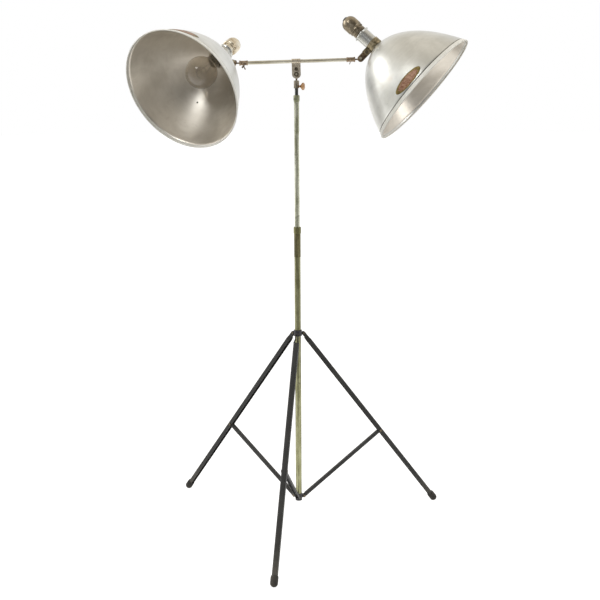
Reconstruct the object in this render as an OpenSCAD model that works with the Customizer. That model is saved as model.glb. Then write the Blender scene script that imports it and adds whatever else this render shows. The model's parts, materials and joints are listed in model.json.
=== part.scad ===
// Twin-reflector studio lamp on a folding tripod with a three-section telescopic column.
// Millimetres, +Z up. The origin is on the floor, on the column's axis.

/* [Tripod] */
// Hub pivot to the centre of the rubber ball of the foot
leg_len = 630; // [560:1:700]
// Angle of an open leg from the column
leg_splay = 37.4; // [32:0.1:40]
// Angle of a closed leg from the column
leg_closed = 1.5; // [1.3:0.1:3]
// Distance of the leg pivots from the column's axis
hub_pivot_r = 15; // [14.5:0.1:18]
// Leg pivot to the brace pivot, along the leg
brace_at = 360; // [320:1:380]
// Brace length between its pivots
brace_len = 267; // [255:1:290]
// Depth of the brace pivot behind the leg pivot line
brace_drop = 1.5; // [1:0.1:2]
// Turn of the whole tripod about the column
tripod_turn = -8.5; // [-60:0.5:60]

/* [Leg channel] */
// Outside width of the leg channel
leg_w = 14.1; // [13.8:0.1:15]
// Pivot line to the outside of the web
leg_web_out = 5.5; // [5.3:0.1:6.5]
// Pivot line to the open edge of the flanges
leg_open = 5.9; // [5:0.1:6.2]
// Sheet thickness of the leg
leg_wall = 1.2; // [1:0.1:1.4]
// Outside corner radius of the leg channel
leg_corner = 4; // [3:0.1:4.5]
// Length of the rubber foot over the leg
foot_len = 17; // [14:1:30]
// Wall of the rubber foot round the leg end
foot_wall = 1.2; // [1:0.1:2]

/* [Brace channel] */
// Outside width of the brace channel
brace_w = 10.2; // [9.4:0.1:10.4]
// Pivot line to the outside of the brace web
brace_web_out = 4.3; // [3.8:0.1:4.5]
// Pivot line to the open edge of the brace
brace_open = 3.5; // [2.5:0.1:3.6]
// Sheet thickness of the brace
brace_wall = 1; // [0.8:0.1:1.2]
// Radius of the rounded brace ends
brace_end_r = 4.2; // [3.6:0.1:4.3]

/* [Column] */
// Outside diameter of the outer tube
outer_od = 15.6; // [15:0.1:16]
// Wall of the outer tube
outer_wall = 1; // [0.8:0.1:1.2]
// Outside diameter of the middle tube
middle_od = 12.4; // [12:0.1:13]
// Wall of the middle tube
middle_wall = 0.9; // [0.7:0.1:1.1]
// Length of the middle tube
middle_len = 635; // [560:1:640]
// Diameter of the inner rod
rod_od = 8.5; // [8:0.1:9.4]
// Length of the inner rod
rod_len = 585; // [500:1:590]
// Middle tube standing out of the outer tube
middle_out = 323.2; // [60:1:560]
// Inner rod standing out of the middle tube, up to the sleeve
rod_out = 17; // [15:1:60]
// Length of the sleeve that stops the closed hub
grip_len = 59; // [40:1:90]

/* [Bar clamp] */
// Width of the folded clamp plate
clamp_w = 21.4; // [18:0.1:26]
// Thickness of the clamp plate
clamp_plate = 2; // [1.5:0.1:2.5]
// Tilt bolt up to the crossbar's axis
bar_rise = 30.7; // [29:0.1:36]
// Tilt of the crossbar, right end up
bar_tilt = 1.5; // [-10:0.1:10]
// Thickness of the tongue between the plates
tongue_t = 4.6; // [4:0.1:5]

/* [Crossbar] */
// Slide of the crossbar in its clamp, to the right
bar_shift = 2.8; // [-50:0.1:50]
// Diameter of the crossbar
bar_od = 8.5; // [8:0.1:9.4]
// Wall of the crossbar tube
bar_wall = 1; // [0.8:0.1:1.5]
// Length of the crossbar tube
bar_len = 278; // [260:1:320]
// Length of the ferrule on each bar end
ferrule_len = 21; // [18:0.5:24]
// Outside diameter of the ferrule
ferrule_od = 11.6; // [11:0.1:12.6]
// Ferrule end to the head's pivot
eye_reach = 13.4; // [12.5:0.1:16]

/* [Heads] */
// Left head: opening direction, away from the bar's line
left_tilt = 61.4; // [0:0.1:110]
// Left head: swing about the bar, from straight down to the front
left_swing = 62.5; // [-90:0.1:150]
// Right head: opening direction, away from the bar's line
right_tilt = 44.7; // [0:0.1:110]
// Right head: swing about the bar, from straight down to the back
right_swing = -20.2; // [-150:0.1:90]
// Left wing screw: turn about the bar, from the hinge line
left_wing = -50; // [-180:5:180]
// Right wing screw: turn about the bar, from the hinge line
right_wing = 180; // [-180:5:180]
// Head pivot to the reflector's axis
arm_reach = 48.4; // [46:0.1:54]
// Width of the arm strap
arm_w = 15.8; // [13:0.1:16.5]
// Thickness of the arm strap
arm_t = 2.8; // [2:0.1:3.4]

/* [Reflector] */
// Radius of the reflector's rim
shade_r = 153.9; // [145:0.1:165]
// Ring centre to the rim
shade_depth = 166; // [150:1:175]
// Ring centre to the top of the dome
dome_top = 7; // [6:0.1:9]
// Full half-length of the dome's ellipse, in dome depths
dome_stretch = 2.8; // [1.6:0.01:3]
// Wall of the spun reflector
shade_wall = 1.2; // [1:0.1:1.6]
// Outside radius of the reflector's neck
neck_r = 17.9; // [17.6:0.1:18.4]
// Ring centre back to the neck's end
neck_len = 40.5; // [37:0.5:43]
// Width of the folded hem along the rim
hem_w = 9.5; // [6:0.5:14]

/* [Socket and bulb] */
// Outside radius of the socket cap
cap_r = 19.6; // [19:0.1:22]
// Length of the socket cap
cap_len = 39.5; // [34:0.5:44]
// Bore of the cord bushing in the cap
cord_bore = 10; // [8:0.1:11]
// Diameter of the bulb
bulb_d = 79; // [60:0.5:84]
// Ring centre to the middle of the bulb
bulb_at = 73; // [66:0.5:80]

/* [Hidden] */
$fn = 72;

// Clearances and fits
run = 0.05;          // radial clearance of a shaft that turns or slides
gap = 0.3;           // air between pieces that move past each other
tiny = 0.01;         // overlap that joins two solids of one piece

// Fasteners
pin_r = 2;           // pivot pins and rivets
head_r = 3.6;        // rivet heads
head_h = 1.2;        // height of a rivet head
small_pin_r = 1.7;   // stub pins at the hub
screw_r = 2.4;       // clamp screw, tilt bolt and head pivot screws
nut_af = 9;          // across the flats of a nut
nut_h = 3.6;         // height of a nut

// Leg and foot
leg_inner = leg_w / 2 - leg_wall;              // half the space inside the leg
foot_axis = (leg_web_out - leg_open) / 2;      // middle of the leg's depth
foot_bore_r = 8.2;                             // round end of the leg, inside the foot
foot_r = foot_bore_r + foot_wall;              // outside of the rubber foot
foot_flat = 0.8;                               // wear flat under the foot
ball_z = foot_r - foot_flat;                   // centre of the ball over the floor
ear_gap = 4.3;                                 // between the pinched ears of a leg
ear_r = 4.4;                                   // rounded end of the ears
ear_flat = 13;                                 // length of the flat ears
ear_flare = 24;                                // where the leg has its full width
hub_lug_t = ear_gap - 2 * gap;                 // lug between the ears

// Tripod geometry, open
turns = [150, 30, -90];                        // directions of legs a, b and c
hub_z = ball_z + leg_len * cos(leg_splay) - foot_axis * sin(leg_splay);
spider_pivot_r = hub_pivot_r - brace_drop;
brace_top_r = hub_pivot_r + brace_at * sin(leg_splay) - brace_drop * cos(leg_splay);
brace_top_z = hub_z - brace_at * cos(leg_splay) - brace_drop * sin(leg_splay);
brace_lean = asin((brace_top_r - spider_pivot_r) / brace_len);
spider_z = brace_top_z - brace_len * cos(brace_lean);
brace_inner = brace_w / 2 - brace_wall;        // half the space inside the brace
spider_lug_t = 2 * (brace_inner - gap);        // lug between the brace's flanges
brace_web_start = 6;                           // pivot to the start of the web
brace_corner = 2;                              // outside corner radius of the brace
// Tripod geometry, closed
closed_top_r = hub_pivot_r + brace_at * sin(leg_closed) - brace_drop * cos(leg_closed);
closed_lean = asin((closed_top_r - spider_pivot_r) / brace_len);
closed_hub_z = spider_z + brace_len * cos(closed_lean) + brace_drop * sin(leg_closed)
               + brace_at * cos(leg_closed);

// Column
spider_drop = 8;                               // pivots to the end of the column
spider_wall = 1;
spider_rise = 9;
spider_floor = 2;
column_z = spider_z - spider_drop;             // underside of the outer tube
hub_r = outer_od / 2 + 2.5;
hub_up = 9;                                    // hub above its pivots
hub_down = 6;                                  // hub below its pivots
grip_z = closed_hub_z + hub_up + 2;            // underside of the grip sleeve
grip_wall = 0.5;
collar_z = grip_z + grip_len;                  // underside of the collar
collar_len = 17;
collar_over = 2;                               // collar above the end of the tube
collar_top = collar_z + collar_len;
collar_r = outer_od / 2 + 1.6;
outer_len = collar_top - collar_over - column_z;
middle_top = collar_top + middle_out;          // top of the middle tube
middle_collar_len = 14;
middle_collar_r = middle_od / 2 + 1.4;
middle_collar_over = 2;
bush_len = 12;
bush_floor = 3;                                // bush below the end of its tube
sleeve_z = middle_top + middle_collar_over + rod_out;
sleeve_len = 18.5;
sleeve_r = rod_od / 2 + 2.35;
rod_seat = sleeve_len - 4;                     // depth of the rod in the sleeve
rod_top = sleeve_z + rod_seat;

// Bar clamp
bolt_z = sleeve_z + sleeve_len + 15.3;         // tilt bolt over the floor
neck_stud_r = 2;
clamp_gap = tongue_t + 2 * gap;                // between the two plates
clamp_screw_rise = 12.4;                       // tilt bolt up to the clamp screw
tongue_r = 8;

// Crossbar ends
bore_end = 1;                                  // air between bar end and ferrule
ferrule_out = bar_len / 2 + bore_end + 1;      // outer face of the ferrule
pivot_reach = ferrule_out + eye_reach;         // head pivot from the bar's middle
eye_t = 4;
eye_r = 6.5;
stud_r = eye_t / 2 - 0.1;
wing_r = 1.5;

// Head
ring_w = 16;
ring_t = 1.6;
ring_z = -1;                                   // middle of the ring, off the arm's line
arm_off = eye_t / 2 + gap + arm_t / 2;         // arm beside the eye
ring_screw_x = neck_r + ring_t + 7.5;
lip_r = 1.6;                                   // rolled lip of the neck
hem_t = 0.9;                                   // hem over the wall
dome_len = shade_depth - dome_top;
dome_a = dome_stretch * dome_len;
dome_b = (shade_r - hem_t) / sin(acos(1 - dome_len / dome_a));
neck_fillet = 2.5;                             // between the neck and the dome
bead_r = 1.5;                                  // rolled edge of the rim
socket_r = neck_r - shade_wall;                // socket shell, a slip fit in the neck
cap_z = -55;                                   // mouth of the cap
cap_round = 16;                                // rounded end of the cap
cap_wall = 1;
cap_mouth = 3;                                 // length of the cap's straight mouth
cap_flare = 5;                                 // mouth out to the full width
shell_wall = 1;
groove_z = -45;                                // groove round the socket shell
groove_w = 1;
groove_d = 0.7;
shell_in = -14;                                // shell end inside the neck
base_r = 13.1;                                 // screw base of the bulb
base_mouth = -26;
base_len = 24;
glass_wall = 0.9;

// ---------- frames ----------
// Leg i: origin at its hub pivot, +X down the leg, +Z out through the web
module leg_frame(i)
    rotate([0, 0, turns[i] + tripod_turn])
        translate([hub_pivot_r, 0, hub_z])
            rotate([0, 90 - leg_splay, 0]) children();

// Brace i: origin at its spider pivot, +X up the brace, +Z out through its open side
module brace_frame(i)
    rotate([0, 0, turns[i] + tripod_turn])
        translate([spider_pivot_r, 0, spider_z])
            rotate([0, brace_lean - 90, 0]) mirror([0, 0, 1]) children();

// Clamp: origin on the tilt bolt
module clamp_frame()
    translate([0, 0, bolt_z]) rotate([0, -bar_tilt, 0]) children();

module bar_frame() clamp_frame() translate([bar_shift, 0, bar_rise]) children();

// Bar end: origin on the head's pivot, +X outwards; side is -1 left, 1 right
module swivel_frame(side)
    bar_frame() rotate([0, 0, side > 0 ? 0 : 180]) translate([pivot_reach, 0, 0])
        rotate([side > 0 ? right_swing : left_swing, 0, 0]) children();

// Head: origin in the ring's centre, +Z towards the rim, +X towards the pivot
module head_frame(side)
    swivel_frame(side) rotate([0, 90 + (side > 0 ? right_tilt : left_tilt), 0])
        translate([-arm_reach, 0, 0]) children();

// ---------- shared shapes ----------
// Cylinder along Y, centred on its axis, from y = a to y = b
module rod_y(r, a, b)
    translate([0, a, 0]) rotate([-90, 0, 0]) cylinder(r = r, h = b - a);

// Plate in the XZ plane with thickness t along Y, centred on y
module plate_y(t, y = 0)
    translate([0, y + t / 2, 0]) rotate([90, 0, 0]) linear_extrude(t) children();

// Hexagonal nut or bolt head along Y from y = a to y = b
module hex_y(a, b)
    translate([0, a, 0]) rotate([-90, 0, 0]) cylinder(d = nut_af / cos(30), h = b - a, $fn = 6);

module tube(r_out, r_in, h)
    difference() {
        cylinder(r = r_out, h = h);
        translate([0, 0, -1]) cylinder(r = r_in, h = h + 2);
    }

// Open U section: web towards +Y, flanges down to -Y
module channel_2d(w, top, bottom, wall, corner)
    difference() {
        union() {
            translate([-w / 2, -bottom]) square([w, bottom + top - corner]);
            translate([-w / 2 + corner, 0]) square([w - 2 * corner, top]);
            for (s = [-1, 1]) translate([s * (w / 2 - corner), top - corner]) circle(corner);
        }
        translate([-w / 2 + wall, -bottom - 1]) square([w - 2 * wall, bottom + 1 + top - corner]);
        translate([-w / 2 + corner, 0]) square([w - 2 * corner, top - wall]);
        for (s = [-1, 1])
            translate([s * (w / 2 - corner), top - corner]) circle(corner - wall);
    }

// Channel along +X from x = a to x = b, web towards +Z
module channel(a, b, w, top, bottom, wall, corner)
    translate([a, 0, 0]) rotate([90, 0, 90])
        linear_extrude(b - a) channel_2d(w, top, bottom, wall, corner);

// ---------- column ----------
module outer_tube()
    color("#b9b98c") translate([0, 0, column_z])
        tube(outer_od / 2, outer_od / 2 - outer_wall, outer_len);

module tube_collar()
    color("#8f8d63") translate([0, 0, collar_top]) rotate_extrude()
        difference() {
            union() {
                translate([0, -collar_len + 1.5]) square([collar_r, collar_len - 3]);
                translate([0, -collar_len]) square([collar_r - 0.8, collar_len]);
            }
            translate([-1, -collar_len - 1]) square([1 + outer_od / 2, collar_len + 1 - collar_over]);
            translate([-1, -collar_len]) square([1 + middle_od / 2 + run, collar_len + 1]);
        }

module grip_sleeve()
    color("#6f6a4c") translate([0, 0, grip_z])
        tube(outer_od / 2 + grip_wall, outer_od / 2, grip_len);

// Cup on the column's end with three lugs for the braces
module spider()
    color("#55534a") difference() {
        union() {
            translate([0, 0, spider_z - spider_drop - spider_floor])
                cylinder(r = outer_od / 2 + spider_wall, h = spider_drop + spider_floor + spider_rise);
            for (i = [0:2]) rotate([0, 0, turns[i] + tripod_turn]) translate([0, 0, spider_z]) {
                plate_y(spider_lug_t) translate([spider_pivot_r, 0]) circle(brace_end_r - 0.6);
                plate_y(spider_lug_t) translate([0, 0.6 - brace_end_r])
                    square([spider_pivot_r, 2 * (brace_end_r - 0.6)]);
            }
        }
        translate([0, 0, column_z]) cylinder(r = outer_od / 2, h = outer_len);
        for (i = [0:2]) rotate([0, 0, turns[i] + tripod_turn])
            translate([spider_pivot_r, 0, spider_z]) rod_y(pin_r, -spider_lug_t, spider_lug_t);
    }

module brace_pins()
    color("#3c3a36") for (i = [0:2]) rotate([0, 0, turns[i] + tripod_turn])
        translate([spider_pivot_r, 0, spider_z]) {
            rod_y(pin_r, -brace_w / 2 - gap, brace_w / 2 + gap);
            for (s = [0, 1]) mirror([0, s, 0])
                rod_y(head_r - 0.6, brace_w / 2 + gap, brace_w / 2 + gap + head_h);
        }

// ---------- sliding hub ----------
module leg_hub()
    color("#4b4a50") difference() {
        union() {
            translate([0, 0, hub_z - hub_down]) cylinder(r = hub_r, h = hub_down + hub_up);
            for (i = [0:2]) rotate([0, 0, turns[i] + tripod_turn]) translate([0, 0, hub_z]) {
                plate_y(hub_lug_t) translate([hub_pivot_r, 0]) circle(ear_r - 0.6);
                plate_y(hub_lug_t) translate([hub_r - 2, 0.6 - ear_r])
                    square([hub_pivot_r - hub_r + 2, 2 * (ear_r - 0.6)]);
            }
        }
        translate([0, 0, hub_z - hub_down - 1])
            cylinder(r = outer_od / 2 + run, h = hub_down + hub_up + 2);
        for (i = [0:2]) rotate([0, 0, turns[i] + tripod_turn])
            translate([hub_pivot_r, 0, hub_z]) rod_y(small_pin_r, -hub_lug_t, hub_lug_t);
    }

module hub_pins()
    color("#77736a") for (i = [0:2]) rotate([0, 0, turns[i] + tripod_turn])
        translate([hub_pivot_r, 0, hub_z]) rod_y(small_pin_r, -hub_lug_t / 2, hub_lug_t / 2);

// ---------- legs ----------
// Flat ears at the hub end, flaring out to the flanges; drawn in plan, thickness inwards
module leg_ears()
    intersection() {
        translate([0, 0, -leg_open]) linear_extrude(2 * leg_open) for (s = [-1, 1])
            polygon([for (p = [[-ear_r, ear_gap / 2], [ear_flat, ear_gap / 2],
                               [ear_flare, leg_inner], [ear_flare + 2, leg_inner],
                               [ear_flare + 2, leg_w / 2], [ear_flare, leg_w / 2],
                               [ear_flat, ear_gap / 2 + leg_wall],
                               [-ear_r, ear_gap / 2 + leg_wall]]) [p.x, s * p.y]]);
        plate_y(2 * leg_w) {
            circle(ear_r);
            translate([0, -ear_r]) square([ear_flare, 2 * ear_r]);
            translate([ear_flat, -leg_open]) square([ear_flare, leg_open + ear_r - 1.5]);
        }
    }

module leg(i)
    color("#454543") leg_frame(i) difference() {
        union() {
            leg_ears();
            channel(ear_flare, leg_len - foot_len, leg_w, leg_web_out, leg_open,
                    leg_wall, leg_corner);
            // swaged end inside the foot
            intersection() {
                channel(leg_len - foot_len - tiny, leg_len - 2, leg_w, leg_web_out, leg_open,
                        leg_wall, leg_corner);
                translate([leg_len - foot_len - 1, 0, foot_axis]) rotate([0, 90, 0])
                    cylinder(r = foot_bore_r, h = foot_len);
            }
        }
        rod_y(small_pin_r, -leg_w, leg_w);
        translate([brace_at, 0, -brace_drop]) rod_y(pin_r, -leg_w, leg_w);
    }

// Through rivet at the brace, and a stub rivet in each ear
module leg_rivets(i)
    color("#5c5852") leg_frame(i) {
        translate([brace_at, 0, -brace_drop]) {
            rod_y(pin_r, -leg_w / 2, leg_w / 2);
            for (s = [0, 1]) mirror([0, s, 0]) rod_y(head_r, leg_w / 2, leg_w / 2 + head_h);
        }
        for (s = [0, 1]) mirror([0, s, 0]) {
            rod_y(small_pin_r, ear_gap / 2, ear_gap / 2 + leg_wall);
            rod_y(head_r - 0.8, ear_gap / 2 + leg_wall, ear_gap / 2 + leg_wall + head_h);
        }
    }

// Rubber boot with a ball end, worn flat where it stands on the floor
module foot(i)
    color("#2e2e2d") difference() {
        leg_frame(i) translate([leg_len, 0, foot_axis]) rotate([0, -90, 0]) difference() {
            union() {
                sphere(foot_r);
                cylinder(r = foot_r, h = foot_len - 3);
                translate([0, 0, foot_len - 3]) cylinder(r1 = foot_r, r2 = foot_r - 0.8, h = 3);
            }
            translate([0, 0, 1]) cylinder(r = foot_bore_r, h = foot_len);
        }
        translate([-2 * leg_len, -2 * leg_len, -2 * foot_r])
            cube([4 * leg_len, 4 * leg_len, 2 * foot_r]);
    }

// ---------- braces ----------
module brace(i)
    color("#3f3f3d") brace_frame(i) difference() {
        union() {
            // flanges with round ends
            for (s = [-1, 1]) plate_y(brace_wall, s * (brace_w - brace_wall) / 2) {
                for (x = [0, brace_len]) translate([x, 0]) circle(brace_end_r);
                translate([0, brace_corner - brace_web_out])
                    square([brace_len, brace_web_out - brace_corner + brace_open]);
            }
            // channel with its web towards the column
            mirror([0, 0, 1])
                channel(brace_web_start, brace_len - brace_web_start, brace_w, brace_web_out,
                        brace_open, brace_wall, brace_corner);
        }
        for (x = [0, brace_len]) translate([x, 0, 0]) rod_y(pin_r + run, -brace_w, brace_w);
    }

// ---------- telescopic sections ----------
module middle_tube()
    color("#c3c1a6") translate([0, 0, middle_top - middle_len])
        tube(middle_od / 2, middle_od / 2 - middle_wall, middle_len);

module middle_collar()
    color("#8c8a68") translate([0, 0, middle_top]) rotate_extrude()
        difference() {
            polygon([[0, -middle_collar_len], [middle_od / 2 + 0.4, -middle_collar_len],
                     [middle_collar_r, 5 - middle_collar_len], [middle_collar_r, 1],
                     [middle_collar_r - 0.8, middle_collar_over], [0, middle_collar_over]]);
            translate([-1, -middle_collar_len - 1]) square([1 + middle_od / 2, middle_collar_len + 1]);
            translate([-1, -1]) square([1 + rod_od / 2 + run, 2 + middle_collar_over]);
        }

// Guide bush on the lower end of the middle tube, inside the outer tube
module middle_bush()
    color("#a58b4f") translate([0, 0, middle_top - middle_len - bush_floor])
        difference() {
            cylinder(r = outer_od / 2 - outer_wall - run, h = bush_len);
            translate([0, 0, bush_floor]) cylinder(r = middle_od / 2, h = bush_len);
            translate([0, 0, -1]) cylinder(r = middle_od / 2 - middle_wall, h = bush_len);
        }

module inner_rod()
    color("#5b5c58") translate([0, 0, rod_top - rod_len]) cylinder(r = rod_od / 2, h = rod_len);

// Guide bush on the lower end of the rod, inside the middle tube
module rod_bush()
    color("#a58b4f") translate([0, 0, rod_top - rod_len - bush_floor])
        difference() {
            cylinder(r = middle_od / 2 - middle_wall - run, h = bush_len);
            translate([0, 0, bush_floor]) cylinder(r = rod_od / 2, h = bush_len);
        }

// ---------- column head ----------
module top_sleeve()
    color("#7d7a70") translate([0, 0, sleeve_z]) difference() {
        union() {
            cylinder(r = sleeve_r, h = sleeve_len - 1);
            translate([0, 0, sleeve_len - 1]) cylinder(r1 = sleeve_r, r2 = sleeve_r - 1, h = 1);
        }
        translate([0, 0, -1]) cylinder(r = rod_od / 2 + run, h = 1 + rod_seat + gap);
        translate([0, 0, rod_seat]) cylinder(r = neck_stud_r, h = sleeve_len);
        thumb_frame() cylinder(r = wing_r + run, h = 3 * sleeve_r);
    }

// Thumb screw axis: +Z outwards, origin on the column's axis
module thumb_frame() translate([0, 0, 4.5]) rotate([0, 0, -20]) rotate([0, 90, 0]) children();

module thumb_screw()
    color("#b8825a") translate([0, 0, sleeve_z]) thumb_frame() {
        translate([0, 0, rod_od / 2 + gap]) cylinder(r = wing_r, h = sleeve_r);
        translate([0, 0, sleeve_r + 1]) rotate_extrude() {
            polygon([[0, 0], [2.6, 0], [2.6, 2], [8.6, 7.5], [9, 8.5], [9, 10.5], [8.2, 11.5],
                     [5.5, 13], [0, 13.6]]);
        }
    }

// Eye between the clamp plates, with a stud riveted into the sleeve
module tilt_tongue()
    color("#5d5749") difference() {
        union() {
            translate([0, 0, bolt_z]) rod_y(tongue_r, -tongue_t / 2, tongue_t / 2);
            translate([0, 0, sleeve_z + sleeve_len]) cylinder(r = tongue_t / 2, h = 9);
            translate([0, 0, rod_top + gap]) cylinder(r = neck_stud_r, h = sleeve_len - rod_seat);
        }
        translate([0, 0, bolt_z]) rod_y(screw_r + run, -tongue_t, tongue_t);
    }

// ---------- bar clamp ----------
module bar_clamp()
    color("#a59c88") clamp_frame() difference() {
        intersection() {
            translate([-clamp_w / 2, 0, 0]) rotate([90, 0, 90]) linear_extrude(clamp_w)
                difference() {
                    union() {
                        translate([0, bar_rise]) circle(bar_od / 2 + run + clamp_plate);
                        translate([-clamp_gap / 2 - clamp_plate, -clamp_w])
                            square([clamp_gap + 2 * clamp_plate, clamp_w + bar_rise - 3]);
                    }
                    translate([0, bar_rise]) circle(bar_od / 2 + run);
                    translate([-clamp_gap / 2, -clamp_w - 1]) square([clamp_gap, clamp_w + bar_rise]);
                }
            plate_y(4 * clamp_plate + bar_od + clamp_gap) {
                circle(clamp_w / 2);
                translate([-clamp_w / 2, 0]) square([clamp_w, 2 * bar_rise]);
            }
        }
        rod_y(screw_r, -clamp_w, clamp_w);
        translate([0, 0, clamp_screw_rise]) rod_y(screw_r, -clamp_w, clamp_w);
    }

clamp_out = clamp_gap / 2 + clamp_plate;       // outer face of the plates

// Slotted cheese-head screw that closes the fold on the bar
module clamp_screw()
    color("#6d5a43") clamp_frame() translate([0, 0, clamp_screw_rise]) difference() {
        union() {
            rod_y(screw_r, -clamp_out, clamp_out + nut_h);
            rod_y(4.3, -clamp_out - 2.2, -clamp_out);
        }
        translate([-5, -clamp_out - 3, -0.6]) cube([10, 1.8, 1.2]);
    }

module clamp_nut()
    color("#6b675c") clamp_frame() translate([0, 0, clamp_screw_rise]) difference() {
        hex_y(clamp_out, clamp_out + nut_h);
        rod_y(screw_r, 0, 2 * clamp_out + nut_h);
    }

module tilt_bolt()
    color("#c9c2ae") clamp_frame() {
        rod_y(screw_r, -clamp_out - nut_h - 0.6, clamp_out);
        hex_y(clamp_out, clamp_out + 3);
    }

module tilt_nut()
    color("#5b5547") clamp_frame() difference() {
        union() {
            rod_y(5.8, -clamp_out - 0.8, -clamp_out);
            hex_y(-clamp_out - nut_h, -clamp_out - 0.8);
        }
        rod_y(screw_r, -2 * clamp_out - nut_h, 0);
    }

// ---------- crossbar and its ends ----------
module crossbar()
    color("#c8c4b4") bar_frame() translate([-bar_len / 2, 0, 0]) rotate([0, 90, 0])
        tube(bar_od / 2, bar_od / 2 - bar_wall, bar_len);

// Brass ferrule that turns on the bar's end
module ferrule(side)
    color("#a77f4d") swivel_frame(side) translate([-eye_reach, 0, 0]) rotate([0, -90, 0])
        difference() {
            rotate_extrude() polygon([[0, 0], [ferrule_od / 2 + 0.4, 0], [ferrule_od / 2 + 0.4, 2.5],
                                      [ferrule_od / 2 - 0.3, 3.5], [ferrule_od / 2 - 0.3, ferrule_len - 4],
                                      [ferrule_od / 2, ferrule_len - 3], [ferrule_od / 2, ferrule_len - 0.6],
                                      [ferrule_od / 2 - 0.6, ferrule_len], [0, ferrule_len]]);
            translate([0, 0, 1]) cylinder(r = bar_od / 2 + run, h = ferrule_len);
            translate([0, 0, -1]) cylinder(r = stud_r, h = 3);
            wing_frame(side) cylinder(r = wing_r + run, h = 2 * ferrule_od);
        }

// Wing screw axis in the ferrule: +Z outwards
module wing_frame(side)
    translate([0, 0, ferrule_len / 2]) rotate([0, 0, side > 0 ? right_wing : left_wing])
        rotate([90, 0, 0]) children();

module wing_screw(side)
    color("#4a3b2c") swivel_frame(side) translate([-eye_reach, 0, 0]) rotate([0, -90, 0])
        wing_frame(side) {
            translate([0, 0, bar_od / 2 + gap]) cylinder(r = wing_r, h = ferrule_od / 2);
            translate([0, 0, ferrule_od / 2 + 0.8]) cylinder(r = 2.6, h = 3);
            // two wings on the hub of the screw
            translate([0, 0, ferrule_od / 2 + 2]) plate_y(1.6) difference() {
                union() for (s = [-1, 1]) {
                    translate([s * 3.6, 5]) circle(2.8);
                    polygon([[0, 0], [s * 2.4, 0], [s * 6.2, 4], [s * 1, 5.6], [0, 2]]);
                }
                translate([0, 6.4]) circle(1.6);
            }
        }

// Stud riveted in the ferrule, with a flat eye for the head's pivot
module eye_stud(side)
    color("#4d4437") swivel_frame(side) difference() {
        union() {
            rod_y(eye_r, -eye_t / 2, eye_t / 2);
            translate([-eye_reach - 1, 0, 0]) rotate([0, 90, 0])
                cylinder(r = stud_r, h = eye_reach - eye_r + 2);
        }
        rod_y(screw_r + run, -eye_t, eye_t);
    }

// ---------- head ----------
// The arm lies on the side of the eye that faces the front
function arm_y(side) = -side * arm_off;

module arm(side)
    color("#4b3a2b") head_frame(side) difference() {
        plate_y(arm_t, arm_y(side)) difference() {
            union() {
                translate([arm_reach, 0]) circle(arm_w / 2);
                translate([neck_r + ring_t + gap, -arm_w / 2])
                    square([arm_reach - neck_r - ring_t - gap, arm_w]);
            }
            translate([0, -arm_w]) square([neck_r + ring_t + gap, 2 * arm_w]);
        }
        for (x = [arm_reach, ring_screw_x]) translate([x, 0, 0]) rod_y(screw_r, -20, 20);
    }

// Strap round the neck, with two ears that hold the arm
module neck_ring(side)
    color("#96896a") head_frame(side) difference() {
        union() {
            translate([0, 0, ring_z - ring_w / 2]) cylinder(r = neck_r + ring_t, h = ring_w);
            for (s = [-1, 1])
                plate_y(ring_t, arm_y(side) + s * (arm_t + ring_t) / 2)
                    translate([neck_r - 2, ring_z - ring_w / 2])
                        square([ring_screw_x - neck_r + 8, ring_w]);
        }
        translate([0, 0, -ring_w]) cylinder(r = neck_r, h = 2 * ring_w);
        plate_y(arm_t, arm_y(side)) translate([neck_r - 3, -ring_w]) square([30, 2 * ring_w]);
        translate([ring_screw_x, 0, 0]) rod_y(screw_r, -20, 20);
    }

module ring_screw(side)
    color("#7a6f58") head_frame(side) translate([ring_screw_x, arm_y(side), 0])
        mirror([0, side > 0 ? 0 : 1, 0]) {
            rod_y(screw_r, -arm_t / 2 - ring_t, arm_t / 2 + ring_t);
            rod_y(4, -arm_t / 2 - ring_t - 2, -arm_t / 2 - ring_t);
            hex_y(arm_t / 2 + ring_t, arm_t / 2 + ring_t + 3);
        }

// Rivet-headed screw through the arm and the eye, with a round nut behind
module pivot_screw(side)
    color("#b9a98a") head_frame(side) translate([arm_reach, 0, 0])
        mirror([0, side > 0 ? 0 : 1, 0]) {
            rod_y(screw_r, -arm_off - arm_t / 2, eye_t / 2 + gap);
            rod_y(3.4, -arm_off - arm_t / 2 - 1.4, -arm_off - arm_t / 2);
            rod_y(5.2, eye_t / 2 + gap, eye_t / 2 + gap + 4);
        }

// Outer outline of the dome at angle a from its top; inset moves it inwards
function dome_pt(a, inset) =
    [(dome_b - inset) * sin(a), dome_top + dome_a - (dome_a - inset) * cos(a)];

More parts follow.
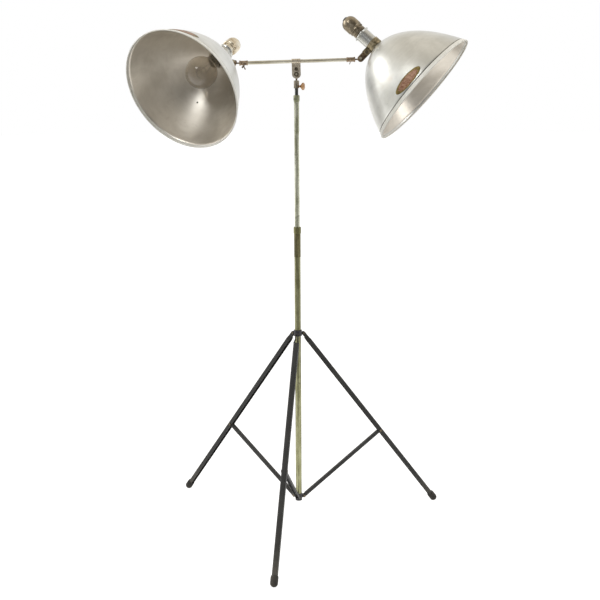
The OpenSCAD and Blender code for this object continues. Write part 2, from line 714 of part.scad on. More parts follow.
module shade(side) {
    steps = 22;
    last = acos(1 - dome_len / dome_a);
    first = asin((neck_r + 1.25 * neck_fillet) / dome_b);
    hem = min([for (k = [0:steps]) if (dome_pt(first + (last - first) * k / steps, 0).y
                                       > shade_depth - hem_w) k]);
    turn_z = dome_pt(first, 0).y - neck_fillet;
    color("#cfcdc2") head_frame(side) rotate_extrude() {
        // spun wall from the neck to the rim, with the folded hem standing out over it
        polygon(concat(
            [[neck_r, -neck_len]],
            [for (a = [0:15:75]) [neck_r + neck_fillet * (1 - cos(a)), turn_z + neck_fillet * sin(a)]],
            [for (k = [0:hem]) dome_pt(first + (last - first) * k / steps, 0)],
            [for (k = [hem:steps]) dome_pt(first + (last - first) * k / steps, -hem_t)],
            [for (k = [steps:-1:0]) dome_pt(first + (last - first) * k / steps, shade_wall)],
            [for (a = [75:-15:0]) [neck_r + neck_fillet - (neck_fillet + shade_wall) * cos(a),
                                   turn_z + (neck_fillet + shade_wall) * sin(a)]],
            [[neck_r - shade_wall, -neck_len]]));
        // rolled lip on the neck
        translate([neck_r + lip_r - shade_wall / 2, -neck_len]) circle(lip_r);
        translate([shade_r - bead_r, shade_depth - bead_r / 3]) circle(bead_r);
    }
}

// Brass shell of the lamp socket, held in the neck
module socket_shell(side)
    color("#a98f62") head_frame(side) rotate_extrude()
        polygon([[socket_r - shell_wall, cap_z - cap_mouth], [socket_r, cap_z - cap_mouth],
                 [socket_r, groove_z - groove_w / 2 - groove_d],
                 [socket_r - groove_d, groove_z - groove_w / 2],
                 [socket_r - groove_d, groove_z + groove_w / 2],
                 [socket_r, groove_z + groove_w / 2 + groove_d],
                 [socket_r, shell_in], [socket_r - shell_wall, shell_in]]);

// Swelling cap with the bushing for the cord
module socket_cap(side) {
    end_z = cap_z - cap_len;
    round_z = end_z + cap_round;
    mouth_z = cap_z - cap_mouth;
    mouth_r = socket_r + 1.6 * cap_wall;
    color("#9c8458") head_frame(side) difference() {
        rotate_extrude() difference() {
            union() {
                polygon([[0, round_z], [cap_r, round_z], [cap_r, mouth_z - cap_flare],
                         [mouth_r, mouth_z], [mouth_r, cap_z], [0, cap_z]]);
                intersection() {
                    translate([0, round_z]) circle(cap_r);
                    translate([0, end_z]) square([cap_r, cap_round]);
                }
                translate([0, end_z - 4]) square([cord_bore / 2 + 2, 6]);
            }
            polygon([[0, round_z], [cap_r - cap_wall, round_z],
                     [cap_r - cap_wall, mouth_z - cap_flare - 0.4 * cap_wall],
                     [socket_r - shell_wall, mouth_z - cap_wall], [socket_r - shell_wall, mouth_z],
                     [socket_r, mouth_z], [socket_r, cap_z + 1], [0, cap_z + 1]]);
            intersection() {
                translate([0, round_z]) circle(cap_r - cap_wall);
                translate([0, end_z + cap_wall]) square([cap_r, cap_round]);
            }
        }
        translate([0, 0, end_z - 5]) cylinder(r = cord_bore / 2, h = 10);
    }
}

// Insulating cup with the screw thread's bore and the centre contact
module socket_core(side)
    color("#d8d3c4") head_frame(side) difference() {
        rotate_extrude() polygon([[0, cap_z - 2], [socket_r - 1, cap_z - 2], [socket_r - 1, base_mouth - 2],
                                  [socket_r - 1.6, base_mouth - 1], [0, base_mouth - 1]]);
        translate([0, 0, base_mouth - base_len]) cylinder(r = base_r + gap, h = base_len + 10);
    }

module bulb_base(side)
    color("#b9a06c") head_frame(side) rotate_extrude()
        polygon([[0, base_mouth - base_len], [4.5, base_mouth - base_len],
                 [5, base_mouth - base_len + 1.5], [base_r - 1.4, base_mouth - base_len + 5],
                 [base_r, base_mouth - base_len + 7], [base_r, base_mouth], [0, base_mouth]]);

// Pear-shaped glass: a ball, a waist and a straight neck
function bulb_outline(inset) = let (
    r = bulb_d / 2 - inset,
    n = base_r - inset,
    join = 145,
    jx = r * sin(join),
    jz = bulb_at + r * cos(join),
    z0 = base_mouth + 8)
    concat([for (a = [0:7.25:join]) [r * sin(a), bulb_at + r * cos(a)]],
           [for (k = [1:7]) let (u = 1 - k / 7)
               [n + (jx - n) * u * u * (3 - 2 * u) * 0.35 + (jx - n) * u * u * 0.65,
                z0 + (jz - z0) * u]]);

module bulb_glass(side)
    color([0.72, 0.72, 0.7, 0.6]) head_frame(side) rotate_extrude() difference() {
        polygon(concat([[0, bulb_at + bulb_d / 2]], bulb_outline(0),
                       [[base_r, base_mouth], [0, base_mouth]]));
        polygon(concat([[0, bulb_at + bulb_d / 2 - glass_wall]], bulb_outline(glass_wall),
                       [[base_r - glass_wall, base_mouth + 1], [0, base_mouth + 1]]));
    }

// ---------- assembly ----------
LETTERS = ["a", "b", "c"];
SIDES = [["left", -1], ["right", 1]];

outer_tube();
tube_collar();
grip_sleeve();
spider();
brace_pins();
leg_hub();
hub_pins();
for (i = [0:2]) {
    leg(i);
    leg_rivets(i);
    foot(i);
    brace(i);
}
middle_tube();
middle_collar();
middle_bush();
inner_rod();
rod_bush();
top_sleeve();
tilt_tongue();
thumb_screw();
bar_clamp();
clamp_screw();
clamp_nut();
tilt_bolt();
tilt_nut();
crossbar();
for (s = SIDES) {
    ferrule(s[1]);
    eye_stud(s[1]);
    wing_screw(s[1]);
    arm(s[1]);
    neck_ring(s[1]);
    ring_screw(s[1]);
    pivot_screw(s[1]);
    shade(s[1]);
    socket_shell(s[1]);
    socket_cap(s[1]);
    socket_core(s[1]);
    bulb_base(s[1]);
    bulb_glass(s[1]);
}
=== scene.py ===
"""Twin-reflector studio lamp on a folding tripod: looks built over the fixed frame.

Metres, +Z up, the origin on the floor under the column. Each head is made in its own frame:
origin in the ring's centre, +Z towards the rim, +X towards the pivot.
"""

import bisect
import json
import math

import bmesh
import bpy
from mathutils import Matrix, Vector


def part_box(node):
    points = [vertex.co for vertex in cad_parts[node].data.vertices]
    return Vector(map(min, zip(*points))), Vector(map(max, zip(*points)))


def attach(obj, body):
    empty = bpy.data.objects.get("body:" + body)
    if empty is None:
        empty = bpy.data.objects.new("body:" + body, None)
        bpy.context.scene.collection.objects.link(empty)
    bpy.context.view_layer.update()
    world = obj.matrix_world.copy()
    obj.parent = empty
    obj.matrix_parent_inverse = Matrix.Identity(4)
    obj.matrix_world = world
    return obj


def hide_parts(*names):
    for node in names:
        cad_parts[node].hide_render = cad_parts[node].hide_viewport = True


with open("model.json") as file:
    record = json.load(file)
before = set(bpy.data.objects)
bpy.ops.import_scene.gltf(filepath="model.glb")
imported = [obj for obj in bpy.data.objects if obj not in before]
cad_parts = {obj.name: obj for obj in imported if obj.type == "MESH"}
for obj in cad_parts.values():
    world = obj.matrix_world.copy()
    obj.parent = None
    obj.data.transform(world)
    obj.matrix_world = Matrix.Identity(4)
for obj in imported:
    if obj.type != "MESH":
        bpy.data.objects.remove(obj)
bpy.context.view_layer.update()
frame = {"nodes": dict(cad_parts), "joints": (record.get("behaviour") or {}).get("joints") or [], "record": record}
NODES = frame["nodes"]
JOINTS = {joint["name"]: joint for joint in frame["joints"]}
MOUNTS = {mount["name"]: mount for mount in frame["record"]["mounts"]}
SIDES = ("left", "right")
LETTERS = "abc"
MM = 0.001

# ---------- camera and lamps ----------
CAMERA_PLACE = (0, -3.0, 1.2386)
CAMERA_DOWN, CAMERA_ROLL = 12.09, -0.33
SENSOR, LENS, SHIFT = 36, 72.59, 0.0038


def aim_camera():
    """Level with the heads and looking a little down."""
    data = bpy.data.cameras.new("camera")
    data.sensor_width, data.lens, data.shift_x = SENSOR, LENS, SHIFT
    camera = bpy.data.objects.new("camera", data)
    bpy.context.scene.collection.objects.link(camera)
    camera.matrix_world = (
        Matrix.Translation(CAMERA_PLACE)
        @ Matrix.Rotation(math.radians(90 - CAMERA_DOWN), 4, "X")
        @ Matrix.Rotation(math.radians(CAMERA_ROLL), 4, "Z")
    )
    bpy.context.scene.camera = camera
    bpy.context.scene.view_settings.view_transform = "Standard"


def softbox(name, place, aim, width, height, watts, colour=(1, 1, 1)):
    """An upright soft lamp that looks at a point."""
    data = bpy.data.lights.new(name, "AREA")
    data.shape, data.size, data.size_y = "RECTANGLE", width, height
    data.energy, data.color = watts, colour
    lamp = bpy.data.objects.new(name, data)
    bpy.context.scene.collection.objects.link(lamp)
    lamp.location = place
    lamp.rotation_euler = (Vector(aim) - Vector(place)).to_track_quat("-Z", "Y").to_euler()


# ---------- materials ----------
def srgb(red, green, blue):
    """A colour given in 0-255 display values, as a shader's socket takes it."""

    def linear(value):
        value /= 255
        return value / 12.92 if value <= 0.04045 else ((value + 0.055) / 1.055) ** 2.4

    return (linear(red), linear(green), linear(blue), 1)


class Val:
    """A number in a finish; arithmetic on it adds the maths to the finish."""

    def __init__(self, finish, socket):
        self.finish, self.socket = finish, socket

    def maths(self, operation, *terms):
        return self.finish.node("ShaderNodeMath", {"operation": operation}, dict(enumerate(terms)))

    def __add__(self, other): return self.maths("ADD", self, other)
    def __radd__(self, other): return self.maths("ADD", other, self)
    def __sub__(self, other): return self.maths("SUBTRACT", self, other)
    def __rsub__(self, other): return self.maths("SUBTRACT", other, self)
    def __mul__(self, other): return self.maths("MULTIPLY", self, other)
    def __truediv__(self, other): return self.maths("DIVIDE", self, other)


class Finish:
    """The shader nodes of a new material, or of the world, and the patterns they are made of."""

    def __init__(self, name=None, world=None):
        self.owner = world or bpy.data.materials.new(name)
        self.owner.use_nodes = True
        self.tree = self.owner.node_tree
        self.tree.nodes.clear()
        self.place = self.node("ShaderNodeTexCoord", out="Generated" if world else "Object")

    def node(self, kind, settings=None, values=None, out=0):
        """A node with its settings and its inputs filled or linked; gives one of its outputs."""
        made = self.tree.nodes.new(kind)
        for key, value in (settings or {}).items():
            setattr(made, key, value)
        for key, value in (values or {}).items():
            if isinstance(value, Val):
                self.tree.links.new(value.socket, made.inputs[key])
            else:
                made.inputs[key].default_value = value
        return Val(self, made.outputs[out])

    def stretch(self, factors, where=None):
        return self.node("ShaderNodeVectorMath", {"operation": "MULTIPLY"},
                         {0: where or self.place, 1: factors})

    def attribute(self, name):
        return self.node("ShaderNodeAttribute", {"attribute_name": name}, out="Vector")

    def part(self, vector, axis):
        return self.node("ShaderNodeSeparateXYZ", None, {0: vector}, out=axis)

    def noise(self, scale, detail=3, rough=0.5, where=None, warp=0):
        return self.node("ShaderNodeTexNoise", None,
                         {"Vector": where or self.place, "Scale": scale, "Detail": detail,
                          "Roughness": rough, "Distortion": warp})

    def rise(self, value, low, high, start=0, end=1):
        """Goes smoothly from start to end while the value goes from low to high."""
        return self.node("ShaderNodeMapRange", {"interpolation_type": "SMOOTHSTEP"},
                         {0: value, 1: low, 2: high, 3: start, 4: end})

    def tint(self, amount, bottom, top):
        return self.node("ShaderNodeMix", {"data_type": "RGBA", "blend_type": "MIX"},
                         {0: amount, 6: bottom, 7: top}, out=2)

    def relief(self, height, depth):
        return self.node("ShaderNodeBump", None,
                         {"Height": height, "Distance": depth, "Strength": 1})

    def done(self, **sockets):
        shader = self.node("ShaderNodeBsdfPrincipled", None,
                           {key.replace("_", " "): value for key, value in sockets.items()})
        self.send_out(shader)
        return self.owner

    def send_out(self, shader, output="ShaderNodeOutputMaterial"):
        out = self.tree.nodes.new(output)
        self.tree.links.new(shader.socket, out.inputs["Surface"])


def shaded(colour, share):
    """The colour multiplied by a share."""
    return tuple(c * share for c in colour[:3]) + (1,)


def enamel(name, colour, bare, worn=0.5, gloss=0.42):
    """Old air-dried black enamel on folded steel: rubbed grey, chipped to the metal."""
    f = Finish(name)
    cloud = f.noise(22, 4, 0.6)
    grain = f.noise(420, 3, 0.6)
    chips = f.rise(f.noise(150, 5, 0.65, warp=0.4), 0.74 - 0.06 * worn, 0.77 - 0.06 * worn)
    rubbed = f.rise(cloud * 0.7 + grain * 0.3, 0.42, 0.68)
    paint = f.tint(rubbed, shaded(colour, 0.72), shaded(colour, 1.35))
    low = f.rise(f.part(f.place, "Z"), 0.11, 0.0) * f.rise(cloud, 0.35, 0.6)
    dusty = f.tint(low * 0.5, paint, srgb(120, 114, 104))
    base = f.tint(chips * 0.85, dusty, bare)
    rough = gloss + grain * 0.12 + cloud * 0.1 - chips * 0.08
    bump = f.relief(grain * 0.4 + cloud * 0.6 - chips * 0.8, 0.00012)
    return f.done(Base_Color=base, Roughness=rough, Metallic=chips * 0.8, Normal=bump,
                  Specular_IOR_Level=0.36)


def rubber(name, colour):
    """Perished rubber, dusty low down."""
    f = Finish(name)
    cloud = f.noise(60, 4, 0.6)
    grain = f.noise(900, 2, 0.5)
    low = f.rise(f.part(f.place, "Z"), 0.014, 0.001)
    base = f.tint(f.rise(cloud, 0.35, 0.7) * 0.5 + low * 0.35, colour, srgb(104, 98, 88))
    return f.done(Base_Color=base, Roughness=0.74 + grain * 0.2,
                  Normal=f.relief(grain + cloud * 2, 0.0001))


def old_metal(name, light, dark, stain, streak=(1, 1, 0.12), rough=0.34, metal=0.85,
              stains=0.4, depth=0.00006, scale=60, flecks=0.5):
    """Worn plate over brass or steel: streaked along its length, spotted with old stain."""
    f = Finish(name)
    drawn = f.noise(scale * 2.4, 5, 0.6, f.stretch(streak))
    blot = f.noise(scale * 0.55, 5, 0.62, warp=0.6)
    fleck = f.rise(f.noise(scale * 8, 4, 0.6), 0.6, 0.74)
    base = f.tint(f.rise(drawn * 0.62 + blot * 0.38, 0.36, 0.64), dark, light)
    stained = f.rise(blot, 0.66 - 0.2 * stains, 0.8 - 0.16 * stains) * 0.75
    base = f.tint(stained, base, stain)
    base = f.tint(fleck * flecks, base, shaded(dark, 0.55))
    gloss = rough + drawn * 0.1 + stained * 0.28 + fleck * 0.15
    bump = f.relief(drawn * 0.5 + fleck * 0.7 + stained * 0.4, depth)
    return f.done(Base_Color=base, Roughness=gloss, Metallic=metal - stained * 0.45, Normal=bump)


def spun_aluminium(name, light, dark, stain, inside):
    """Spun sheet: fine rings round the axis, clouded by age, darker on the neck's tube.

    It reads where each point lies in the turned shape: round the axis, and along the profile."""
    f = Finish(name)
    spun = f.attribute("spun")
    rings = f.noise(1, 4, 0.7, f.stretch((2.5, 2.5, 900), spun))
    coarse = f.noise(1, 3, 0.55, f.stretch((2, 2, 130), spun))
    cloud = f.noise(9, 5, 0.6, warp=0.7)
    bloom = f.noise(28, 5, 0.62, warp=0.3)
    fleck = f.rise(f.noise(330, 4, 0.6), 0.69, 0.76)
    scuff = f.rise(f.noise(1, 3, 0.5, f.stretch((30, 26, 420), spun)), 0.66, 0.74)
    base = f.tint(f.rise(cloud * 0.66 + coarse * 0.1 + bloom * 0.24, 0.36, 0.66), dark, light)
    stained = f.rise(bloom * 0.55 + cloud * 0.45, 0.56, 0.72)
    base = f.tint(stained * (0.42 if inside else 0.3), base, stain)
    base = f.tint(fleck * 0.55, base, shaded(stain, 0.45))
    neck = f.rise(f.part(spun, "Z"), 0.058, 0.046)
    if not inside:
        base = f.tint(neck * 0.3, base, shaded(dark, 0.6))
    rough = ((0.285 if inside else 0.25) + coarse * 0.1 + bloom * 0.1 + fleck * 0.2
             - scuff * 0.06 - neck * 0.08)
    bump = f.relief(rings * 0.5 + coarse * 0.7 - scuff * 0.6 + bloom * 1.2, 0.00004)
    return f.done(Base_Color=base, Roughness=rough, Metallic=0.9 if inside else 0.88, Normal=bump)


EVEN = (1, 1, 1)
PAINT = {
    "leg": enamel("charcoal_enamel", srgb(50, 50, 48), srgb(120, 115, 106)),
    "brace": enamel("brace_enamel", srgb(56, 56, 55), srgb(118, 112, 102), worn=0.3),
    "hub": enamel("hub_enamel", srgb(70, 69, 74), srgb(140, 134, 126), worn=0.9, gloss=0.36),
    "rubber": rubber("foot_rubber", srgb(44, 43, 42)),
    "outer": old_metal("outer_tube_plate", srgb(160, 160, 126), srgb(114, 113, 80),
                       srgb(78, 74, 50), rough=0.12, metal=0.92, stains=0.5, depth=0.00002),
    "grip": old_metal("grip_sleeve_brass", srgb(136, 130, 92), srgb(88, 84, 56), srgb(58, 54, 36),
                      rough=0.4, metal=0.7, stains=0.7),
    "collar": old_metal("collar_plate", srgb(150, 148, 106), srgb(104, 102, 66), srgb(62, 60, 36),
                        rough=0.34, metal=0.75, stains=0.7),
    "middle": old_metal("middle_tube_plate", srgb(224, 226, 208), srgb(158, 160, 130),
                        srgb(100, 102, 70), rough=0.22, metal=0.88, stains=0.55),
    "dull_collar": old_metal("middle_collar_plate", srgb(182, 184, 154), srgb(122, 126, 96),
                             srgb(66, 68, 48), rough=0.4, metal=0.65, stains=0.8, scale=120),
    "rod": old_metal("rod_steel", srgb(118, 120, 116), srgb(70, 72, 70), srgb(48, 46, 40),
                     rough=0.3, metal=0.85, stains=0.5),
    "brass": old_metal("bush_brass", srgb(190, 158, 92), srgb(150, 120, 62), srgb(92, 70, 36)),
    "sleeve": old_metal("sleeve_plate", srgb(182, 173, 156), srgb(118, 110, 94), srgb(74, 66, 52),
                        rough=0.36, stains=0.6, scale=90),
    "copper": old_metal("screw_copper", srgb(214, 174, 130), srgb(160, 118, 78), srgb(98, 66, 42),
                        streak=EVEN, rough=0.36, metal=0.75, stains=0.5),
    "clamp": old_metal("clamp_plate", srgb(246, 238, 220), srgb(184, 170, 148), srgb(90, 62, 40),
                       streak=(1, 1, 0.6), rough=0.3, metal=0.82, stains=0.85, depth=0.00008,
                       scale=150),
    "screw": old_metal("screw_steel", srgb(120, 110, 92), srgb(78, 70, 56), srgb(50, 42, 32),
                       streak=EVEN, rough=0.4, metal=0.8, stains=0.6),
    "bolt": old_metal("bolt_nickel", srgb(214, 208, 190), srgb(160, 152, 132), srgb(104, 96, 78),
                      streak=EVEN, rough=0.3, metal=0.85, stains=0.4),
    "bar": old_metal("bar_plate", srgb(226, 222, 206), srgb(184, 176, 154), srgb(140, 128, 100),
                     streak=(0.1, 1, 1), rough=0.38, metal=0.82, stains=0.35),
    "ferrule": old_metal("ferrule_brass", srgb(204, 184, 156), srgb(124, 100, 78), srgb(62, 46, 34),
                         streak=EVEN, rough=0.32, metal=0.82, stains=0.85, depth=0.00008,
                         scale=140),
    "bronze": old_metal("strap_bronze", srgb(142, 122, 98), srgb(80, 66, 50), srgb(40, 31, 24),
                        streak=EVEN, rough=0.36, metal=0.7, stains=0.6, depth=0.0001),
    "ring": old_metal("ring_bronze", srgb(200, 184, 152), srgb(112, 102, 76), srgb(66, 58, 42),
                      streak=EVEN, rough=0.32, metal=0.82, stains=0.7),
    "socket_left": old_metal("socket_pale_brass", srgb(244, 238, 220), srgb(178, 160, 132),
                             srgb(92, 68, 48), streak=EVEN, rough=0.22, metal=0.88, stains=0.6,
                             depth=0.00008, scale=24, flecks=0.15),
    "socket_right": old_metal("socket_brass", srgb(172, 160, 138), srgb(106, 94, 76),
                              srgb(62, 50, 38), streak=EVEN, rough=0.25, metal=0.85, stains=0.6,
                              depth=0.00008, scale=26, flecks=0.2),
    # Pale, nearly white and barely metallic: matt old aluminium on the hem and bead, and in part a painted
    # highlight along the rim
    "bead_and_highlight": old_metal("bead_aluminium_and_painted_highlight", srgb(250, 249, 243), srgb(236, 234, 224),
                      srgb(206, 201, 186), streak=EVEN, rough=0.5, metal=0.1, stains=0.3),
    # Dark finish behind the neck's lip and in the groove over the hem: painted shade in these gaps, with a little
    # grime
    "grime": old_metal("seam_grime_and_painted_shade", srgb(92, 88, 66), srgb(54, 50, 38), srgb(36, 32, 24),
                       streak=EVEN, rough=0.5, metal=0.4, stains=0.5),
    "base": old_metal("bulb_base_brass", srgb(204, 180, 120), srgb(160, 134, 80), srgb(96, 76, 44)),
    "outside": spun_aluminium("reflector_outside", srgb(225, 225, 220), srgb(200, 200, 194),
                              srgb(192, 174, 148), inside=False),
    "inside": spun_aluminium("reflector_inside", srgb(222, 216, 205), srgb(198, 191, 179),
                             srgb(164, 152, 136), inside=True),
}


def porcelain():
    """Glazed core of a socket."""
    f = Finish("socket_porcelain")
    cloud = f.noise(40, 3)
    return f.done(Base_Color=f.tint(cloud, srgb(196, 190, 174), srgb(222, 217, 204)),
                  Roughness=0.25 + cloud * 0.1)


def black_fibre():
    """Pressed fibre of the cord's bush."""
    f = Finish("cord_bush_fibre")
    grain = f.noise(500, 3)
    return f.done(Base_Color=f.tint(grain, srgb(20, 19, 18), srgb(44, 41, 38)),
                  Roughness=0.5 + grain * 0.2, Normal=f.relief(grain, 0.00005))


def bulb_glass():
    """Clear glass with a little haze."""
    f = Finish("bulb_glass")
    haze = f.noise(30, 3)
    return f.done(Base_Color=srgb(232, 226, 216), Roughness=0.015 + haze * 0.03,
                  Transmission_Weight=0.93, IOR=1.45)


def tungsten():
    """Drawn wire of the filament and its supports."""
    f = Finish("filament_wire")
    return f.done(Base_Color=f.tint(f.noise(800), srgb(60, 58, 56), srgb(110, 106, 100)),
                  Roughness=0.4, Metallic=0.9)


def badge_finish(name, light, dark, worn, metal):
    """Stamped plate: coloured lacquer mottled by age over brass."""
    f = Finish(name)
    mottle = f.noise(170, 5, 0.65, warp=0.8)
    grime = f.noise(620, 4, 0.6)
    base = f.tint(f.rise(mottle, 0.36, 0.64), dark, light)
    base = f.tint(f.rise(grime, 0.56, 0.7) * 0.7, base, worn)
    return f.done(Base_Color=base, Roughness=0.34 + mottle * 0.2, Metallic=metal,
                  Normal=f.relief(mottle + grime * 0.5, 0.00008))


PAINT["porcelain"] = porcelain()
PAINT["fibre"] = black_fibre()
PAINT["glass"] = bulb_glass()
PAINT["wire"] = tungsten()
PAINT["badge_field"] = badge_finish("badge_lacquer", srgb(178, 138, 110), srgb(120, 72, 38),
                                    srgb(96, 62, 40), metal=0.15)
PAINT["badge_border"] = badge_finish("badge_rim_brass", srgb(138, 120, 68), srgb(92, 76, 38),
                                     srgb(60, 50, 28), metal=0.6)

CAD_PAINT = {
    "outer_tube": "outer", "tube_collar": "collar", "grip_sleeve": "grip", "spider": "hub",
    "brace_pins": "screw", "leg_hub": "hub", "hub_pins": "screw", "middle_tube": "middle",
    "middle_collar": "dull_collar", "middle_bush": "brass", "inner_rod": "rod",
    "rod_bush": "brass", "top_sleeve": "sleeve", "tilt_tongue": "bronze", "thumb_screw": "copper",
    "bar_clamp": "clamp", "clamp_screw": "screw", "clamp_nut": "screw", "tilt_bolt": "bolt",
    "tilt_nut": "screw", "crossbar": "bar",
}
for letter in LETTERS:
    CAD_PAINT.update({f"leg_{letter}": "leg", f"leg_rivets_{letter}": "screw",
                      f"foot_{letter}": "rubber", f"brace_{letter}": "brace"})
for side in SIDES:
    CAD_PAINT.update({f"ferrule_{side}": "ferrule", f"eye_stud_{side}": "bronze",
                      f"wing_screw_{side}": "bronze", f"arm_{side}": "bronze",
                      f"neck_ring_{side}": "ring",
                      f"ring_screw_{side}": "screw", f"pivot_screw_{side}": "bolt",
                      f"shade_{side}": "outside", f"socket_shell_{side}": f"socket_{side}",
                      f"socket_cap_{side}": f"socket_{side}", f"socket_core_{side}": "porcelain",
                      f"bulb_base_{side}": "base", f"bulb_glass_{side}": "glass"})
for name, finish in CAD_PAINT.items():
    node = NODES[name]
    for slot in node.material_slots:
        slot.material = PAINT[finish]


# ---------- shapes ----------
def head_matrix(side):
    """The head's own frame, from its pivot and from where the cord comes in."""
    inlet = MOUNTS["cord_inlet_" + side]
    axis = -Vector(inlet["axis"]).normalized()
    on_axis = Vector(inlet["pos_m"])
    pivot = Vector(JOINTS["head_tilt_" + side]["pos_m"])
    ring = on_axis + axis * (pivot - on_axis).dot(axis)
    across = (pivot - ring).normalized()
    turn = Matrix((across, axis.cross(across), axis)).transposed()
    return Matrix.Translation(ring) @ turn.to_4x4()


def finish_piece(name, bm, matrix, finishes, body, nodes=(), sharp=35):
    """Makes a piece of the shape: in its place, on its body, instead of the nodes it replaces."""
    bm.transform(matrix)
    mesh = bpy.data.meshes.new(name)
    bm.to_mesh(mesh)
    bm.free()
    mesh.polygons.foreach_set("use_smooth", [True] * len(mesh.polygons))
    mesh.set_sharp_from_angle(angle=math.radians(sharp))
    for finish in finishes:
        mesh.materials.append(PAINT[finish])
    piece = bpy.data.objects.new(name, mesh)
    bpy.context.scene.collection.objects.link(piece)
    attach(piece, body)
    if nodes:
        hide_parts(*nodes)


def turned(profile, steps):
    """A turned shape from a closed profile of (radius, height, finish of the stretch after it).

    It writes on each point where it lies: round the axis, and along the profile."""
    bm = bmesh.new()
    spun = bm.verts.layers.float_vector.new("spun")
    run, runs, points = 0.0, [], []
    closed = profile + [profile[0]]
    for here, after in zip(closed, closed[1:] + [None]):
        point = bm.verts.new((here[0], 0, here[1]))
        point[spun] = (0, 0, run)
        points.append(point)
        if after:
            run += math.dist(here[:2], after[:2])
            runs.append(run)
    edges = [bm.edges.new(pair) for pair in zip(points, points[1:])]
    bmesh.ops.spin(bm, geom=points + edges, axis=(0, 0, 1), cent=(0, 0, 0),
                   angle=2 * math.pi, steps=steps, use_merge=True)
    for face in bm.faces:
        middle = sum(v[spun].z for v in face.verts) / len(face.verts)
        face.material_index = profile[min(bisect.bisect(runs, middle), len(profile) - 1)][2]
    for v in bm.verts:
        turn = math.atan2(v.co.y, v.co.x)
        v[spun] = (math.cos(turn), math.sin(turn), v[spun].z)
    bmesh.ops.remove_doubles(bm, verts=bm.verts, dist=1e-7)
    bmesh.ops.dissolve_degenerate(bm, edges=bm.edges, dist=1e-8)
    bmesh.ops.recalc_face_normals(bm, faces=bm.faces)
    return bm


def arc(cx, cz, radius, start, end, steps, finish=0):
    """Points on an arc of a profile, by angle in degrees from straight out."""
    return [(cx + radius * math.cos(math.radians(start + (end - start) * k / steps)),
             cz + radius * math.sin(math.radians(start + (end - start) * k / steps)), finish)
            for k in range(steps + 1)]


# ---------- reflectors ----------
RIM_R, DEPTH, DOME_TOP, WALL = 0.1539, 0.166, 0.007, 0.0012
NECK_R, NECK_LEN, FOOT_R, FLARE_R = 0.0179, 0.0405, 0.0210, 0.0026
LIP_R, LIP_OUT = 0.0019, 0.0012
HEM_W, HEM_T, HEM_IN, GROOVE, BEAD_R = 0.0095, 0.0009, 0.0062, 0.0014, 0.0015
# The dome is a part of an ellipsoid whose half axis is this many times its depth
DOME_LONG = 2.8
DOME_A = DOME_LONG * (DEPTH - DOME_TOP)
DOME_B = (RIM_R - HEM_T) / math.sin(math.acos(1 - 1 / DOME_LONG))
DOME_STEPS, DOME_CROWD = 56, 1.6
REFLECTOR_FINISHES = ["outside", "inside", "grime", "bead_and_highlight"]
OUTSIDE, INSIDE, GRIME_AND_SHADE, BEAD_AND_HIGHLIGHT = range(4)


def dome_r(height, out=0.0):
    """Radius of the dome's outside at a height from the ring, or of a line off it."""
    share = 1 - max(height - DOME_TOP, 0) / DOME_A
    return (DOME_B + out) * math.sqrt(max(1 - share * share, 0))


def reflector(side):
    """Spun dome on a necked tube: rolled lip, turned hem with a groove over it, beaded rim."""
    rise = DOME_TOP + DOME_A * (1 - math.sqrt(1 - (FOOT_R / DOME_B) ** 2))
    hem, edge = DEPTH - HEM_W, DEPTH - HEM_IN
    shares = [k / DOME_STEPS for k in range(DOME_STEPS + 1)]
    # The back of the lip takes the dark seam finish: painted shade in the gap behind the lip
    lip = arc(NECK_R + LIP_OUT, -NECK_LEN, LIP_R, 150, 262, 6, GRIME_AND_SHADE)
    lip += arc(NECK_R + LIP_OUT, -NECK_LEN, LIP_R, 278, 372, 6)
    outside = [(NECK_R, -NECK_LEN + 0.0028, OUTSIDE)]
    outside += arc(NECK_R + FLARE_R, rise - FLARE_R, FLARE_R, 180, 95, 6)
    heights = [rise + (hem - GROOVE - rise) * share ** DOME_CROWD for share in shares]
    outside += [(dome_r(h), h, OUTSIDE) for h in heights[:-1]]
    # The groove over the hem takes the dark seam finish: painted shade in the groove
    outside += [(dome_r(heights[-1]), heights[-1], GRIME_AND_SHADE),
                (dome_r(hem - 0.0004) - 0.0007, hem - 0.0002, GRIME_AND_SHADE),
                (dome_r(hem) - 0.0005, hem + 0.0003, GRIME_AND_SHADE)]
    # The hem band and the bead take the pale finish: matt old aluminium, and in part a painted highlight along the
    # rim
    outside += [(dome_r(h, HEM_T), h, BEAD_AND_HIGHLIGHT) for h in
                [hem + 0.0005 + (DEPTH - 0.0032 - hem) * k / 5 for k in range(6)]]
    bead_and_highlight = arc(RIM_R - BEAD_R + 0.0001, DEPTH - BEAD_R / 3, BEAD_R, -55, 205, 12, BEAD_AND_HIGHLIGHT)
    # Only the left head's turned-in hem takes the pale finish, a painted highlight; the right one's stays bare
    # metal
    turned_in = BEAD_AND_HIGHLIGHT if side == "left" else OUTSIDE
    inside = [(dome_r(DEPTH - 0.003, -WALL), DEPTH - 0.003, turned_in),
              (dome_r(edge, -WALL), edge, turned_in),
              (dome_r(edge, -WALL) + 0.0003, edge - 0.0004, INSIDE)]
    step = edge - 0.0009
    inside += [(dome_r(h, -WALL), h, INSIDE) for h in
               [step + (rise - step) * (1 - (1 - share) ** DOME_CROWD) for share in shares]]
    inner_neck = arc(NECK_R + FLARE_R, rise - FLARE_R, FLARE_R + WALL, 95, 180, 6, INSIDE)
    inner_neck += [(NECK_R - WALL, -NECK_LEN + 0.001, OUTSIDE)]
    bm = turned(lip + outside + bead_and_highlight + inside + inner_neck, 224)
    finish_piece(f"reflector_{side}", bm, head_matrix(side), REFLECTOR_FINISHES,
                 f"head_{side}", [f"shade_{side}"], 50)


RIVET_Z, RIVET_TURN = 0.0636, -105.1


